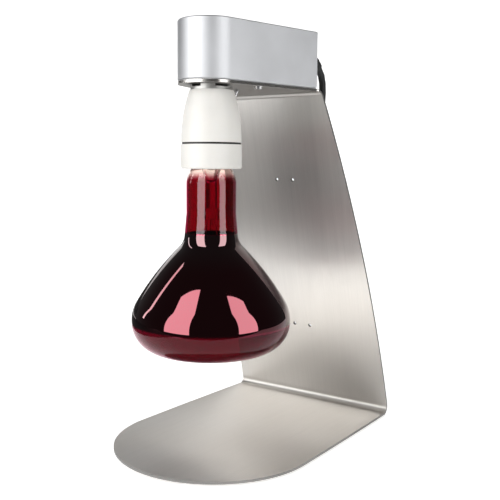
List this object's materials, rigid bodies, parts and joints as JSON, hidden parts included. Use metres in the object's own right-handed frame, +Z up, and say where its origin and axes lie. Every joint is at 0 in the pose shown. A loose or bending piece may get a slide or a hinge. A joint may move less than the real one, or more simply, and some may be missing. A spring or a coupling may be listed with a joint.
{
  "type": "infrared heat therapy lamp",
  "caption": "Table lamp for infrared heat: a ruby reflector bulb in a porcelain holder hangs from a flat head on a bent sheet-steel stand, with a toggle switch under the head and a mains cord.",
  "frame": {"origin": "centre of the stand's footprint, on the table", "axes": "+Z up, the front of the lamp faces -Y, +X is to the right for someone who faces the front"},
  "size_m": [0.2412, 0.3442, 0.3343],
  "materials": {
    "stainless": "brushed lengthwise, 240 grit",
    "rubber": "matt",
    "satin_aluminium": "satin anodised, with a polished chamfer at the bottom",
    "zinc_steel": "bright zinc plated",
    "chrome": "polished",
    "brass": "bright",
    "porcelain": "off-white, satin glaze",
    "steatite": "unglazed",
    "black_ring": "matt",
    "ruby_glass": "ruby; the cone is mirrored inside and the dome lets the light out",
    "clear_glass": "clear",
    "black_glass": "black insulating glass",
    "cap_metal": "rolled sheet",
    "solder": "dull",
    "wire": "drawn wire",
    "tungsten": "coiled wire",
    "switch_plastic": "moulded",
    "block_plastic": "moulded",
    "brown_wire": "PVC",
    "blue_wire": "PVC",
    "green_yellow_wire": "PVC, green and yellow",
    "black_pvc": "satin PVC"
  },
  "bodies": {
    "stand": {"stand_plate": "stainless", "rubber_feet": "rubber", "head_housing": "satin_aluminium", "housing_screws": "chrome", "rear_bracket": "zinc_steel", "rear_screws": "chrome", "holder_collar": "zinc_steel", "threaded_nipple": "brass", "nipple_washer": "zinc_steel", "nipple_nut": "brass", "holder_body": "porcelain", "holder_ring": "black_ring", "holder_skirt": "porcelain", "contact_carrier": "steatite", "holder_screws": "brass", "screw_shell": "brass", "centre_contact": "brass", "holder_terminals": "brass", "switch_case": "switch_plastic", "switch_bushing": "chrome", "switch_nut": "chrome", "switch_terminals": "brass", "weld_studs": "zinc_steel", "stud_nuts": "brass", "terminal_block": "block_plastic", "block_screws": "brass", "earth_lug": "brass", "live_core": "brown_wire", "neutral_core": "blue_wire", "earth_core": "green_yellow_wire", "switch_feed": "brown_wire", "switched_live": "brown_wire", "holder_neutral": "blue_wire", "cord_bush": "black_pvc", "cord_entry": "black_pvc", "cord_relief": "black_pvc", "cord_free": "black_pvc", "cord_coil": "black_pvc", "cord_tie": "black_pvc", "cord_tail": "black_pvc", "plug_body": "black_pvc", "plug_pins": "chrome", "plug_earth_strips": "chrome"},
    "bulb": {"bulb_glass": "ruby_glass", "bulb_cap": "cap_metal", "cap_insulator": "black_glass", "bulb_stem": "clear_glass", "lead_in_wires": "wire", "filament_hooks": "wire", "filament": "tungsten"},
    "bulb_contact": {"bulb_tip": "solder"},
    "lever": {"switch_lever": "chrome"},
    "rocker": {"switch_rocker": "brass"}
  },
  "joints": [
    {"name": "bulb_lower", "type": "slide", "parent": "stand", "child": "bulb_contact", "axis": [0, 0, -1], "range_m": [0, 0.0109]},
    {"name": "bulb_unscrew", "type": "hinge", "parent": "bulb_contact", "child": "bulb", "pos_m": [0, -0.0413, 0.15], "axis": [0, 0, -1], "range_deg": [0, 1080]},
    {"name": "switch_toggle", "type": "hinge", "parent": "stand", "child": "lever", "pos_m": [0, -0.0083, 0.2877], "axis": [1, 0, 0], "range_deg": [0, 24]},
    {"name": "switch_contact", "type": "hinge", "parent": "stand", "child": "rocker", "pos_m": [0, -0.0083, 0.2944], "axis": [1, 0, 0], "range_deg": [-16, 0]}
  ],
  "couplings": [
    {"joint": "bulb_lower", "follows": "bulb_unscrew", "m_per_rad": 0.00057757},
    {"joint": "switch_contact", "follows": "switch_toggle", "ratio": -0.66667}
  ]
}
